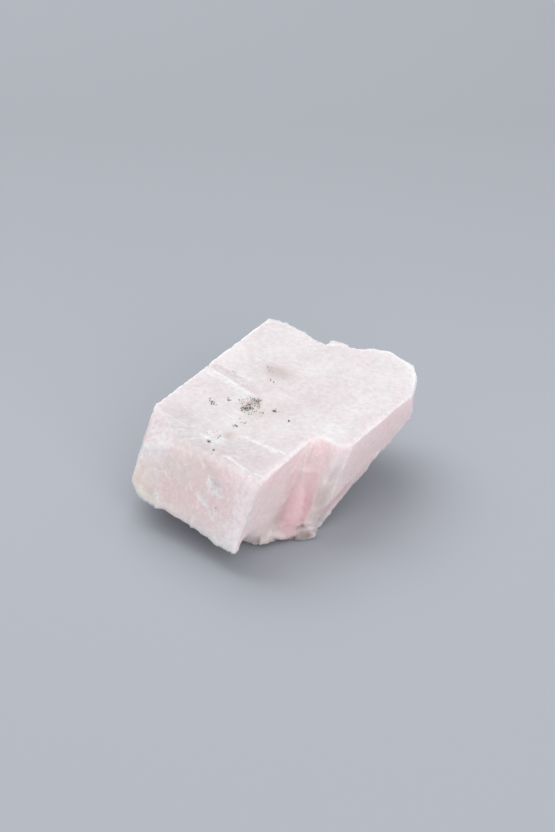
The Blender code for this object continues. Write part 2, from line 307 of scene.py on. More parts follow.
# Frost: where the crystal is bruised or cloudy it is white, elsewhere clear and pink.
frost = top_face * (0.28 - 0.25 * clear_front + 0.45 * patch[:, 1])
frost = np.maximum(frost, front_face * (0.55 + 0.4 * patch[:, 2]) * (1.0 - clear_heart))
high = np.clip((30.0 - cells[:, 2]) / 8.0, 0.0, 1.0)
for path in (
    ((0, 0, 3), (0, 0, 29)),
    ((2, 0, 0.6), (32, 0, 0.2)),
    ((34, 11.5, 2), (34.2, 12, 33)),
    ((36.5, 13.3, 3), (36.5, 13.3, 33)),
):
    high = high * (1.0 - along(path, 2.6))
frost = np.maximum(frost, (0.1 + 0.9 * high) * crumbled * (0.7 + ripple[:, 0]))
bevel_at = (0.6, 6.4, 13.8, 21.4, 27.0, 31.0)
bevel_depth = (3.1, 2.6, 1.8, 2.3, 1.3, 0.6)
bevel = (np.interp(cells[:, 0], bevel_at, bevel_depth) - cells[:, 2]) / 1.5
bevel = bevel * (cells[:, 0] < 33.0) * (cells[:, 1] > -1.5)
frost = np.maximum(frost, 0.6 * np.clip(bevel, 0.0, 1.0))
frost = np.maximum(frost, 2.0 * top_shading * (1.0 - top_shading))
for path, width, strength in (
    # the top face: its rims and the white band under the pink one
    (((0, -51.4, 0), (9.9, -57.8, 0), (40, -57.8, 0), (82.5, -58.2, 0)), 1.2, 0.8),
    (((82.5, -58.2, 0), (84, -51, 0), (82.4, -36, 0), (82, -30.4, 0), (87.4, -24, 0)), 1.4, 0.6),
    (((87.4, -24, 0), (91.6, -16.5, 0), (93.5, -6.8, 0), (91, 1, 0), (88.6, 6, 0),
      (77, 13.2, 0)), 3.0, 0.9),
    (((84.8, 13.3, 0.2), (38.4, 13.3, 0.2)), 1.0, 0.6),
    (((38.6, -57.5, 0), (38.9, -44.9, 0), (37.4, -35.5, 0)), 1.7, 0.85),
    (((48.8, -56, 0), (47.9, -48, 0), (45.6, -39, 0)), 0.9, 0.5),
    # the front face: the border of its clear heart
    (((0, -51.4, 8.8), (0, -46.2, 7.4), (0, -37.1, 1.2)), 1.2, 0.5),
    (((0, -22, 0.6), (0, -17.4, 1.7), (0, -13, 6)), 1.4, 0.5),
    (((0, -3.4, 0), (0, -3.4, 14), (0, -3.0, 29)), 4.0, 0.5),
    (((0, -50, 14), (0, -47, 20), (0, -43, 24)), 1.0, 0.6),
    # the front side: its upper rim, and the step's outer edge
    (((34.6, 12.6, 0), (34.8, 12.8, 14)), 4.8, 0.75),
    (((34.4, 12.4, 12), (34.4, 12.6, 22), (34.6, 12.8, 31)), 3.8, 0.65),
):
    frost = np.maximum(frost, strength * along(path, width, 0.6) * (0.85 + 0.5 * ripple[:, 1]))
for middle, reach, strength in (
    ((18, -28, 0), (7, 6, 3), 0.6),
    ((10, -30, 0), (5, 5, 3), 0.6),
    ((37, -35, 0), (3, 4, 2), 1.2),
    ((10, -29, 0), (3.4, 2.6, 2), 1.0),
    ((7, -31.5, 0), (2.2, 3.4, 2), 1.1),
    ((8.8, -28.6, 0), (2.6, 4.2, 2), 1.5),
    ((31.5, -29.8, 0), (4.2, 3.6, 2), 0.8),
    ((10.4, -26.2, 0), (2, 2.6, 2), 0.9),
    ((0, -12, 20), (3, 2.5, 3), 0.45),
    ((0, -45, 10), (4, 6, 4), 0.85),
    ((0, -19.5, 16.2), (3, 3.4, 2), 0.45),
    ((0, -16, 11.5), (3, 3, 3), 0.4),
    ((25.5, -42, 0), (3, 3.4, 2), 0.7),
    ((29.5, -38, 0), (2.4, 2, 2), 0.6),
    ((38, 2, 0), (8, 9, 2), 0.9),
    ((70, -42, 0), (16, 14, 2), 0.45),
    ((60, 2, 0), (30, 9, 2), 0.55),
    ((76, -8, 0), (14, 12, 2), 0.45),
    ((2, -46, 3), (6, 12, 6), 0.75),
    ((0, -36, 2.5), (4, 10, 3), 0.45),
    ((0, -43, 17), (4, 4, 4), 0.5),
):
    frost = np.maximum(frost, strength * around(middle, reach, 0.5))

pink_band = along(((44.2, -57.5, 0), (43.4, -47.6, 0), (40.9, -37.5, 0), (40.4, -33.5, 0)), 1.7)
frost = frost * (1.0 - 0.9 * pink_band)

# Blush: how pink the clear calcite is.
blush = 0.36 - 0.1 * top_face
for middle, reach, strength in (
    ((0, -26, 18), (5, 18, 11), 0.3),
    ((0, -40, 15), (4, 4, 4), 0.4),
    ((34, 5, 4), (3, 8, 8), -0.25),
    ((55.5, -33, 0), (4, 8, 2), 0.7),
    ((60, 13, 22), (30, 3, 9), 0.45),
    ((55, -20, 0), (16, 16, 2), 0.5),
    ((10, -42, 0), (7, 8, 3), 0.3),
    ((9, -11, 0), (5, 8, 3), 0.45),
    ((26, -8, 0), (7, 7, 3), 0.2),
    ((0, -40, 3), (4, 14, 5), -0.3),
    ((34.4, 12.6, 16), (5, 5, 16), -0.4),
    ((0, -50, 22), (4, 8, 6), -0.2),
    ((20, 0, 14), (16, 3, 12), 0.2),
    ((72, 13, 8), (26, 3, 10), 0.25),
    ((86, 9, 2), (9, 9, 8), -0.45),
    ((95, -4, 2), (6, 12, 8), -0.45),
):
    blush = blush + strength * around(middle, reach, 0.8)
blush = blush - 1.2 * top_shading * (1.0 - top_shading)
blush = blush + 1.1 * pink_band
blush = blush + 0.25 * patch[:, 0] + 0.12 * swell[:, 1]

# Deep rose: the clear wedge in the step, with a sharp upper end and soft sides. Its rose is partly
# the calcite's own and partly painted shade in the step's inner corner, strongest towards the foot.
fall = cells[:, 2]
left_side = np.interp(fall, (9.0, 17.8, 24.0, 31.0), (17.5, 22.0, 22.6, 20.5))
right_side = np.interp(fall, (12.7, 18.8, 25.5, 32.0), (7.2, 8.2, 9.2, 9.0))
in_side = np.clip((cells[:, 0] - left_side) / 6.5, 0.0, 1.0)
in_wall = np.clip((right_side - cells[:, 1]) / 1.6, 0.0, 1.0)
upper_end = np.interp(cells[:, 0], (22.0, 26.5, 33.5), (9.0, 10.4, 13.4))
upper_end = upper_end - 0.2 * np.clip(cells[:, 1], 0.0, 5.0) + 0.5 * swell[:, 1]
deep = in_side * in_wall * np.clip((fall - upper_end) / 0.9, 0.0, 1.0)
deep = deep * (cells[:, 0] < 38.0) * (cells[:, 1] > -3.0)
deep = deep * np.interp(fall, (12.0, 16.0, 24.0), (0.55, 0.6, 1.0))
# Less rose on the wall's side: painted light, evening out the shade that falls there.
deep = deep * (1.0 - 0.3 * around((34, 6, 20), (3, 4, 7)))
deep = np.maximum(deep, 1.0 * along(((39, 13.3, 27.0), (49, 13.3, 23.6)), 2.8))

# Stain and painted shade: the brown smudge and the dirt among the grains are stains; the dull
# glassy lump is painted dark with the shadow that shows through it, and the step's outer edge, the
# foot of the skirt and every face that looks down are greyed as painted shade.
# painted shade on every face that looks down
stain_and_shade = 0.8 * np.clip(-2.0 * normals[:, 2] - 0.9, 0.0, 1.0)
for middle, reach, strength in (
    ((56.0, -33.6, 0), (3.8, 6.0, 2), 0.6),
    ((56.0, -38.0, 0), (2.4, 1.8, 2), 0.7),
    ((12.6, -25.2, 0), (2.2, 2.0, 2), 0.5),
    ((30.4, -29.6, 0), (2.2, 1.8, 2), 0.6),
    ((35.6, -29.6, 0), (2.0, 2.2, 2), 0.5),
    ((0, -42, 22.9), (2, 2.6, 1.4), 0.25),
    ((32.5, 10, 34.5), (5.5, 5, 2.6), 1.0),
    ((24, 2, 35), (12, 6, 2.6), 0.75),
    ((12, 0, 33), (8, 5, 2.5), 0.55),
    ((30.2, -24.1, 0), (2.2, 2.6, 2), 0.22),
    ((34.5, 11.2, 21), (3.4, 3, 6), 0.5),
    ((35.5, 12.6, 29), (4, 4, 5), 0.6),
    ((34.4, 12.0, 8), (4, 4, 14), 0.28),
    ((1.2, 0.0, 14), (1.8, 1.8, 16), 0.24),
    ((9, 0, 27), (5, 3, 3), 0.15),
):
    stain_and_shade = np.maximum(stain_and_shade, strength * around(middle, reach, 0.6))

# Cream: a warm tint, in the low left corner, by the grains and in the front face.
cream = np.zeros(len(points))
for middle, reach, strength in (
    ((0, -50, 22), (5, 8, 8), 0.9),
    ((0, -42, 23.2), (3, 4, 2.2), 1.2),
    ((0, -30, 24), (4, 10, 3), 0.4),
    ((0, -28, 4), (3, 8, 4), 0.28),
    ((0, -35, 9), (4, 5, 5), 0.3),
    ((14.6, -25, 0), (3, 3.4, 2), 0.5),
    ((31, -27, 0), (7, 6, 2), 0.5),
    ((27, 0, 24), (5, 4, 6), 0.3),
    ((34.6, 12.6, 24), (4, 5, 7), 0.5),
    ((84, 13, 4), (12, 3, 4), 0.3),
):
    cream = cream + strength * around(middle, reach, 0.8)

# Painted shade: the colour is darkened over the front crease and the front of the top face, along
# the outer edge of the step, down the front corner and the step's inner corner, and most of all at
# the thin foot of the skirt and round the lump, by the table.
painted_shade = np.zeros(len(points))
for middle, reach, strength in (
    ((2, -30, 0), (9, 22, 3), 0.75),
    ((10, -46, 0), (8, 8, 3), 0.45),
    ((8, -9, 0), (7, 9, 3), 0.15),
    ((34.8, 12.8, 12), (4, 4, 5), 0.9),
    ((34.8, 12.8, 22), (4, 5, 8), 1.2),
    ((27, 0, 28), (6, 3, 5), 1.2),
    ((19, 0, 30.5), (8, 3, 4), 1.5),
    ((27, 3, 32), (4, 4, 2.2), 0.6),
    ((24, 2, 35.5), (7, 5, 1.8), 2.6),
    ((32.5, 10, 34.5), (4.5, 5, 2.6), 1.7),
    ((31, 0.2, 18), (1.6, 2, 9), 0.6),
):
    painted_shade = painted_shade + strength * around(middle, reach, 0.5)
painted_shade = painted_shade + 0.7 * along(((0.4, 0, 2), (0.4, 0, 27)), 1.6)
painted_shade = painted_shade * (1.0 - 0.9 * around((8.6, -28.5, 0), (4.0, 4.4, 2), 0.6))

# Fine lines: healed cracks and cleavage partings. Each has a width in millimetres and a whiteness,
# below zero where the line is dark, as partings and as painted shade in the step's inner corner.
# Above one the line turns to GLINT, painted highlight: the ledge's glint, the top face's bright
# rims, and the crushed calcite, white of its own and brightened with painted highlight. A point
# keeps its distance from the nearest one, with a sign for the side it lies on. Beyond LINE_REACH no
# line shows, and each fades out over the end LINE_TAPER of its length.
LINE_REACH = 2.6
LINE_TAPER = 0.15
line_gap = np.full(len(points), 9.0)
line_width = np.ones(len(points))
line_white = np.zeros(len(points))
for path, width, white in (
    # the top face: the two ledges, the wandering crack, the rims of the pink band
    (((15.2, -22.4, 0), (16.1, -18.5, 0), (16.5, -12.4, 0), (16.5, -6.9, 0),
      (17.4, -2.2, 0)), 1.4, 0.85),
    (((3.1, -19.6, 0), (2.6, -14.7, 0), (1.8, -10.4, 0), (1.8, -5.8, 0)), 1.1, 1.2),
    # the lower ledge's end: a painted highlight
    (((1.8, -5.6, 0), (2.2, -3.4, 0), (2.7, -1.1, 0)), 0.8, 2.4),
    (((7.4, -34.6, 0), (6.7, -31.2, 0), (7.6, -28.2, 0)), 1.5, 1.35),
    (((10.8, -28.6, 0), (10.2, -26, 0), (9.8, -23.6, 0)), 1.1, 1.6),
    (((11.2, -32.9, 0), (9.6, -30.5, 0), (11.2, -28.2, 0)), 1.0, 1.4),
    (((8.6, -29.6, 0), (7.4, -27.4, 0), (6.2, -24.2, 0)), 0.9, 1.3),
    # the top face's rims: white crumbled calcite, brightened with painted highlight
    (((0, -51.4, 0), (9.9, -58.0, 0), (40, -58.2, 0), (82.5, -58.2, 0)), 0.9, 2.0),
    (((82.5, -58.2, 0), (84, -51, 0), (82.4, -36, 0), (82, -30.4, 0), (87.4, -24, 0)), 0.8, 1.8),
    (((87.4, -24, 0), (92, -16.5, 0), (94.4, -7, 0), (91.8, 1.6, 0), (89, 6.6, 0),
      (78, 13, 0)), 1.6, 1.6),
    (((8.8, -51.9, 0), (7.7, -45.7, 0), (7.7, -40, 0), (11, -36.9, 0), (19.5, -35.1, 0)), 0.8, 0.7),
    (((46.4, -57, 0), (46.0, -48.2, 0), (43.4, -38.5, 0)), 0.45, 0.7),
    (((41.3, -57, 0), (40.3, -47.3, 0), (38.6, -38, 0), (36.6, -34, 0)), 0.9, 1.1),
    (((27.5, -36, 0), (26.0, -31, 0), (26.5, -26, 0)), 0.6, 0.6),
    (((23.5, -36, 0), (22.0, -31, 0), (23.0, -27, 0)), 0.5, 0.6),
    (((59, -50, 0), (60.5, -44, 0), (60, -38, 0)), 0.4, 0.5),
    (((76, -35, 0), (78, -31, 0)), 0.5, 0.9),
    (((66, -52, 0), (64, -47, 0), (65, -42, 0)), 0.4, 0.4),
    (((34.2, -2.5, 0), (34.2, 4, 0), (34.3, 11, 0)), 0.9, 0.9),
    # across the crease between the top and front faces: the border of the clear heart
    (((0, -50.4, 8.8), (0, -46.2, 7.4), (0, -43.1, 6.6), (0, -39, 1.9)), 0.7, 0.9),
    (((0.6, -37.5, 0), (2.6, -34.8, 0), (5.4, -32.4, 0), (9, -31.3, 0)), 0.9, 1.1),
    (((9, -28.5, 0), (5.6, -26.5, 0), (2.1, -24.3, 0), (0.4, -21.5, 0.6)), 0.8, 0.5),
    (((0, -21, 1.1), (0, -17.4, 2.2)), 0.7, 0.5),
    # the front face: the white pit, the trails that lead from it, the net by the corner
    (((0, -19.7, 9.8), (0, -18.6, 10.4), (0, -17.4, 10.0)), 1.2, 1.2),
    (((0, -18.4, 8.8), (0, -18.6, 12.2)), 0.9, 1.2),
    (((0, -23.9, 14.9), (0, -21, 16.8), (0, -18.2, 17.6), (0, -15.5, 18.4)), 1.0, 0.95),
    (((0, -17, 11.4), (0, -14, 12.6), (0, -11.2, 12)), 0.8, 0.95),
    (((0, -7.1, 13.3), (0, -3.1, 15)), 0.3, 0.8),
    (((0, -48.2, 22.2), (0, -45, 22.7), (0, -42.3, 22.5)), 0.3, 0.8),
    (((0, -46.8, 23.9), (0, -43.5, 24.3), (0, -40.7, 24.2)), 0.3, 0.8),
    (((0, -39.7, 21.9), (0, -38.2, 22.8), (0, -37.6, 23.9)), 0.6, 1.2),
    (((0, -44.7, 14.2), (0, -41.7, 14.6), (0, -38.7, 13.3)), 0.5, 0.8),
    (((0, -45.6, 17.4), (0, -43.5, 19)), 0.4, 0.6),
    (((0, -32, 18.6), (0, -29, 21.5)), 0.3, 0.5),
    (((0, -27.5, 12), (0, -26.8, 14), (0, -25, 15.8)), 0.5, 0.8),
    (((0, -25.4, 4.6), (0, -23.8, 5)), 0.9, 1.1),
    (((0, -39.5, 11.8), (0, -37.4, 15), (0, -34.5, 14.6)), 0.35, 0.7),
    (((0, -40.6, 23), (0, -38.6, 23.4), (0, -37, 23.2)), 0.4, 1.0),
    (((0, -38.2, 21.2), (0, -38.5, 24.6)), 0.4, 1.0),
    (((0, -16.2, 18.6), (0, -14, 20.6), (0, -11.4, 22.2)), 0.35, 0.8),
    (((0, -12.4, 18.2), (0, -13.6, 22.6)), 0.35, 0.7),
    (((0, -7.2, 14.6), (0, -4.6, 16.6)), 0.35, 0.8),
    # the front corner: the bevel's two rims
    (((1.4, 0, 3), (2.6, 0, 13), (2.8, 0, 20), (2.0, 0, 27)), 0.9, 0.25),
    (((0, -1.8, 4), (0, -1.8, 14), (0, -2.0, 24)), 0.9, 0.3),
    (((5, 0, 3.4), (14, 0, 2.3), (24, 0, 1.9), (31, 0, 1.0)), 0.5, -0.3),
    # the front side: streaks that run down to the skirt
    (((31, 0, 20), (25, 0, 24), (17, 0, 29)), 0.5, 0.5),
    (((26, 0, 29.5), (19, 0, 31.5)), 0.5, 0.6),
    (((21, 0, 11), (15, 0, 16), (9, 0, 21)), 0.4, 0.35),
    (((15, 0, 8), (10, 0, 12.5)), 0.4, 0.3),
    # the step: the short dark line of painted shade in its inner corner, the dark rim of the long
    # edge, the outer edge
    (((34, -0.3, 2.6), (34, 0.2, 6), (34, 0.9, 10)), 0.6, -0.6),
    (((35, 13.3, 1.2), (44, 13.3, 1.3), (54, 13.3, 1.9), (64, 13.3, 1.2),
      (74, 13.3, 1.4)), 0.6, -0.3),
    (((35.6, 13.3, 5), (36.4, 13.3, 12), (36.6, 13.3, 20)), 0.8, -0.2),
    (((42, 13.3, 22), (52, 13.3, 19), (62, 13.3, 16)), 0.5, 0.4),
    (((50, 13.3, 9), (66, 13.3, 8), (80, 13.3, 6)), 0.4, 0.3),
):
    corners = [np.array(place(*corner)) / MM for corner in path]
    lengths = [np.linalg.norm(end - start) for start, end in zip(corners, corners[1:])]
    total = sum(lengths)
    gone = 0.0
    for start, end, length in zip(corners, corners[1:], lengths):
        way = (end - start) / length
        run = np.clip((points - start) @ way, 0.0, length)
        off = points - start - run[:, None] * way
        gap = np.linalg.norm(off, axis=1)
        side = np.sign((np.cross(way, off) * normals).sum(axis=1))
        to_end = np.minimum(gone + run, total - gone - run)
        taper = np.clip(to_end / (LINE_TAPER * total), 0.0, 1.0)
        closer = gap < np.abs(line_gap)
        line_gap = np.where(closer, gap * side, line_gap)
        line_width = np.where(closer, width, line_width)
        line_white = np.where(closer, white * taper, line_white)
        gone += length
line_white[np.abs(line_gap) > LINE_REACH] = 0.0

# Relief: crumbs along the edges, low lattice terraces on the faces, rough breaks. It
# calms down towards the foot.
flatness = np.zeros(len(points))
for number, vert in enumerate(bm.verts):
    ways = [face.normal for face in vert.link_faces]
    for cleavage in cleavages:
        if all(abs(way.dot(cleavage)) > FLAT_WITHIN for way in ways):
            flatness[number] = 1.0
terrace = np.round(3.0 * drift(9.0, 41.0)[:, 0] + 0.8 * swell[:, 2]) / 3.0
rough = (1.0 - flatness) * (1.0 - crumbled)
rough = rough * (1.0 - np.clip(1.3 * np.maximum(hollow, ledge), 0.0, 0.9))
calm = np.clip((33.0 - cells[:, 2]) / 2.0, 0.25, 1.0)
depth = 0.3 * calm * crumbled * (0.2 + ripple[:, 2]) + 0.10 * flatness * (terrace + 0.5)
depth = depth + rough * (0.25 * swell[:, 0] + 0.3 * calm * ripple[:, 0])

# The low rim, the right end, the lowest front corner and the lump stand out a little.
low_rim = ((0, -46.5, 25.4), (0, -40, 26.6), (0, -25.6, 27.1), (0, -14.9, 29.5), (0, -2.6, 29.5))
depth = depth - 0.6 * along(low_rim, 1.8)
depth = depth - 1.1 * (1.0 - top_shading) * around((86.5, 7.5, 2), (4, 5, 5)) * (1.0 + 0.7 * ripple[:, 0])
depth = depth - 0.5 * (1.0 - top_shading) * around((93.5, -6, 1), (4, 8, 4)) * (1.0 + 1.5 * ripple[:, 0])
depth = depth - 0.9 * around((1, 0.2, 28.6), (2.4, 1.6, 2.4))
depth = depth - 1.2 * around((31.2, 8.4, 35.0), (2.6, 2.6, 1.4))

# The foot of the skirt is chipped in flat facets, CHIP millimetres across.
CHIP = 4.2
CHIP_DEPTH = 1.8
chipped = np.clip((cells[:, 2] - 29.5) / 2.5, 0.0, 1.0)
chipped = chipped * (cells[:, 0] > 4.0) * (cells[:, 1] > -4.0)
for number in np.flatnonzero(chipped * rough):
    chip = Vector(points[number] / CHIP)
    middle = noise.voronoi(chip)[1][0]
    tilt = noise.cell_vector(middle * 7.0) - Vector((0.5, 0.5, 0.5))
    depth[number] += CHIP_DEPTH * chipped[number] * tilt.dot(chip - middle)
pit = around((33.5, -30.5, 0), (2.6, 2.8, 2)) + around((0, -18.4, 10.2), (2, 1.6, 1.8))
depth = depth + 0.35 * pit * (1.0 + 2.0 * ripple[:, 1])
depth[cells[:, 2] > 36.0] = 0.0
for vert, amount in zip(bm.verts, depth):
    vert.co -= vert.normal * float(amount) * MM
    vert.co.z = max(vert.co.z, 0.0)

crystal = bpy.data.objects.new("calcite_body", bpy.data.meshes.new("calcite_body"))
bm.to_mesh(crystal.data)
bm.free()
crystal.data.set_sharp_from_angle(angle=SHADED_EDGE)
for name, values in (
    ("frost", np.clip(frost, 0.0, 1.0)),
    ("blush", np.clip(blush, 0.0, 1.0)),
    ("deep", np.clip(deep, 0.0, 1.0)),
    ("stain_and_shade", np.clip(stain_and_shade, 0.0, 1.0)),
    ("top_shading", top_shading),
    ("cream", np.clip(cream, 0.0, 1.0)),
    ("painted_shade", painted_shade),
    ("line_gap", line_gap),
    ("line_width", line_width),
    ("line_white", line_white),
):
    layer = crystal.data.attributes.new(name, "FLOAT", "POINT")
    layer.data.foreach_set("value", values.astype(np.float32))
bpy.context.scene.collection.objects.link(crystal)

# The TOP_ colours are the SIDE_ calcite painted darker, as painted shade on the top face against
# the light from above; the SIDE_ ones are its painted lit copy.
TOP_MILK = (0.648, 0.594, 0.612, 1.0)
TOP_PINK = (0.610, 0.538, 0.560, 1.0)
TOP_WHITE = (0.715, 0.703, 0.714, 1.0)
SIDE_MILK = (0.885, 0.775, 0.785, 1.0)
SIDE_PINK = (0.875, 0.665, 0.67, 1.0)
SIDE_WHITE = (0.97, 0.905, 0.925, 1.0)
SIDE_BEIGE = (0.86, 0.765, 0.75, 1.0)
TOP_BEIGE = (0.640, 0.600, 0.606, 1.0)
SIDE_CREAM = (0.88, 0.775, 0.715, 1.0)
TOP_CREAM = (0.665, 0.612, 0.588, 1.0)
ROSE = (0.78, 0.535, 0.57, 1.0)
# DULL: the stains' colour, and painted shade underneath and at the foot.
DULL = (0.44, 0.37, 0.35, 1.0)
# The dark lines' colour: partings, and painted shade in the step's inner corner.
PARTING_AND_CORNER_SHADE = (0.50, 0.41, 0.42, 1.0)
# GLINT: a painted highlight.
GLINT = (0.86, 0.86, 0.88, 1.0)

calcite = bpy.data.materials.new("milky pink calcite")
calcite.use_nodes = True
nodes = calcite.node_tree.nodes
links = calcite.node_tree.links
calcite_shader = nodes["Principled BSDF"]


def node(kind, **settings):
    """A new node; settings are its properties, or its inputs by number as i0, i1."""
    new = nodes.new(kind)
    for name, value in settings.items():
        if name[0] == "i" and name[1:].isdigit():
            socket = new.inputs[int(name[1:])]
            if isinstance(value, bpy.types.NodeSocket):
                links.new(value, socket)
            else:
                socket.default_value = value
        else:
            setattr(new, name, value)
    return new


def maths(operation, first, second):
    """One sum on two values."""
    return node("ShaderNodeMath", operation=operation, i0=first, i1=second).outputs[0]


def blend(share, first, second):
    """A colour between two colours."""
    return node("ShaderNodeMix", data_type="RGBA", i0=share, i6=first, i7=second).outputs[2]


# The calcite's grain: flecks are drawn out along the lattice, most of all downwards.
GRAIN_ALONG = (1.0, 0.5, 0.45)
anywhere = node("ShaderNodeTexCoord").outputs["Object"]
grain_place = node("ShaderNodeCombineXYZ")
for axis, finer in enumerate(GRAIN_ALONG):
    row = node("ShaderNodeVectorMath", operation="DOT_PRODUCT",
               i0=anywhere, i1=unlattice[axis] * finer)
    links.new(row.outputs["Value"], grain_place.inputs[axis])
cleaved = grain_place.outputs[0]


def speckle(size, detail=3.0, coords=anywhere):
    """Noise whose grains are size millimetres across."""
    grain = node("ShaderNodeTexNoise", i0=coords, i2=1.0 / (size * MM), i3=detail)
    return grain.outputs[0]


def painted(name):
    """One of the values that the mesh's points carry."""
    return node("ShaderNodeAttribute", attribute_name=name).outputs["Fac"]


def swing(noise_value, reach):
    """Noise moved to lie about zero, from about -reach to reach."""
    return maths("MULTIPLY", maths("SUBTRACT", noise_value, 0.5), 2.0 * reach)


cloud = speckle(7.0)
streak = speckle(1.5, 3.0, cleaved)
sugar = speckle(0.7, 2.0)
grit = speckle(1.6, 4.0)
looks_up = painted("top_shading")
mottle = maths("ADD", swing(streak, 0.2), swing(grit, 0.42))
mottle = maths("MULTIPLY", mottle, maths("SUBTRACT", 1.5, maths("MULTIPLY", looks_up, 0.5)))
rosy = maths("ADD", painted("blush"), maths("ADD", swing(cloud, 0.4), mottle))
icy = maths("ADD", painted("frost"), maths("ADD", swing(cloud, 0.4), mottle))
icy = maths("ADD", icy, swing(sugar, 0.4))
fleck_from = maths("ADD", 0.64, maths("MULTIPLY", looks_up, 0.04))
fleck = maths("SUBTRACT", speckle(0.9, 1.0), fleck_from)
fleck = maths("MULTIPLY", maths("MAXIMUM", fleck, 0.0), 8.0)
icy = maths("ADD", icy, fleck)
# Where a face looks up it takes the TOP_ colours, painted darker as shade; the sides take the
# painted lit SIDE_ colours.
milk = blend(looks_up, SIDE_MILK, TOP_MILK)
colour = blend(rosy, milk, blend(looks_up, SIDE_PINK, TOP_PINK))
beige = maths("MULTIPLY", maths("SUBTRACT", speckle(5.0, 3.0, cleaved), 0.45), 2.2)
colour = blend(beige, colour, blend(looks_up, SIDE_BEIGE, TOP_BEIGE))
snow = blend(looks_up, SIDE_WHITE, TOP_WHITE)
colour = blend(icy, colour, snow)
colour = blend(painted("cream"), colour, blend(looks_up, SIDE_CREAM, TOP_CREAM))
colour = blend(maths("ADD", painted("deep"), swing(mottle, 0.1)), colour, ROSE)

# The fine lines wander a little, and break up where the grit is coarse.
line_wander = maths("ADD", swing(speckle(2.2, 2.0), 0.7), swing(speckle(0.8, 2.0), 0.5))
off_line = maths("ABSOLUTE", maths("ADD", painted("line_gap"), line_wander), 0.0)
mark = maths("SUBTRACT", 1.0, maths("DIVIDE", off_line, painted("line_width")))
mark = maths("MAXIMUM", mark, 0.0)
mark = maths("MULTIPLY", mark, maths("ADD", 0.4, maths("MULTIPLY", grit, 1.6)))
mark = maths("MULTIPLY", mark, painted("line_white"))
colour = blend(mark, colour, snow)
# Past one a line turns to GLINT, a painted highlight.
colour = blend(maths("SUBTRACT", mark, 1.0), colour, GLINT)
# Below zero a line turns dark: partings, and painted shade in the step's inner corner.
colour = blend(maths("MULTIPLY", mark, -1.0), colour, PARTING_AND_CORNER_SHADE)
# Stains, and painted shade underneath and at the foot, turn the colour DULL where the grit is
# coarse.
dirt_and_shade = maths("MULTIPLY", painted("stain_and_shade"), maths("MULTIPLY", grit, 2.0))
colour = blend(dirt_and_shade, colour, DULL)
shade = maths("ADD", 1.0, maths("ADD", swing(grit, 0.12), swing(streak, 0.07)))
# The painted shade carried by the mesh's points darkens the colour here.
shade = maths("SUBTRACT", shade, maths("MULTIPLY", painted("painted_shade"), 0.16))
colour = node("ShaderNodeVectorMath", operation="SCALE", i0=colour, i3=shade).outputs[0]
links.new(colour, calcite_shader.inputs["Base Color"])

# The satin: a fine sugary relief, rougher on the top face.
relief = maths("ADD", maths("MULTIPLY", grit, 0.6), maths("MULTIPLY", sugar, 0.3))
bump = node("ShaderNodeBump", i0=0.6, i1=0.25 * MM)
links.new(relief, bump.inputs["Height"])
links.new(bump.outputs[0], calcite_shader.inputs["Normal"])
satin = maths("ADD", maths("MULTIPLY", grit, 0.3), maths("MULTIPLY", looks_up, 0.4))
links.new(maths("ADD", 0.30, satin), calcite_shader.inputs["Roughness"])
calcite_shader.inputs["IOR"].default_value = 1.55
calcite_shader.inputs["Specular IOR Level"].default_value = 0.25
calcite_shader.inputs["Subsurface Weight"].default_value = 1.0
calcite_shader.inputs["Subsurface Radius"].default_value = (1.0, 0.7, 0.75)
calcite_shader.inputs["Subsurface Scale"].default_value = 0.006
crystal.data.materials.append(calcite)
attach(crystal, "root")
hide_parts("calcite_crystal")

# --------------------------------------------------------------- pyrite_grains
# Small dark grains of pyrite sit in a shallow pit of the top face, with a few strays
# round it and on the front face. They grew into the calcite and are held by it.

dice = Random(7)
surface = BVHTree.FromPolygons([vert.co for vert in crystal.data.vertices],
                               [face.vertices for face in crystal.data.polygons])


def scattered(name, beds, across, deep_through, thickness, lift, ragged):
    """A piece made of small lumps that sit on the calcite. Each bed is a lattice place, how
    far its lumps stray, how many they are, and their size, all in millimetres."""
    bm = bmesh.new()
    for middle, spread, count, size in beds:
        for _ in range(count):
            # a lump strays within its own face: the top face, or else the front face
            stray = [dice.gauss(0.0, spread) for _ in range(3)]
            stray[2 if middle[0] > 0 else 0] = 0.0
            near = place(*(value + move for value, move in zip(middle, stray)))
            seat, way, _, _ = surface.find_nearest(near)
            wide = size * dice.uniform(0.5, 1.25) * MM
            turn = dice.uniform(0.0, 6.3)
            axle = Vector([dice.uniform(-1, 1) for _ in range(3)])
            shape = (dice.uniform(*across), dice.uniform(*deep_through), thickness, 1.0)
            seated = Matrix.Translation(seat + way * wide * lift)
            seated = seated @ Matrix.Rotation(turn, 4, axle) @ Matrix.Diagonal(shape)
            bmesh.ops.create_icosphere(bm, subdivisions=1, radius=wide / 2, matrix=seated)
    for vert in bm.verts:
        vert.co += noise.noise_vector(vert.co * 3000.0) * ragged * MM
    lumps = bpy.data.objects.new(name, bpy.data.meshes.new(name))
    bm.to_mesh(lumps.data)
    bm.free()
    bpy.context.scene.collection.objects.link(lumps)
    return lumps


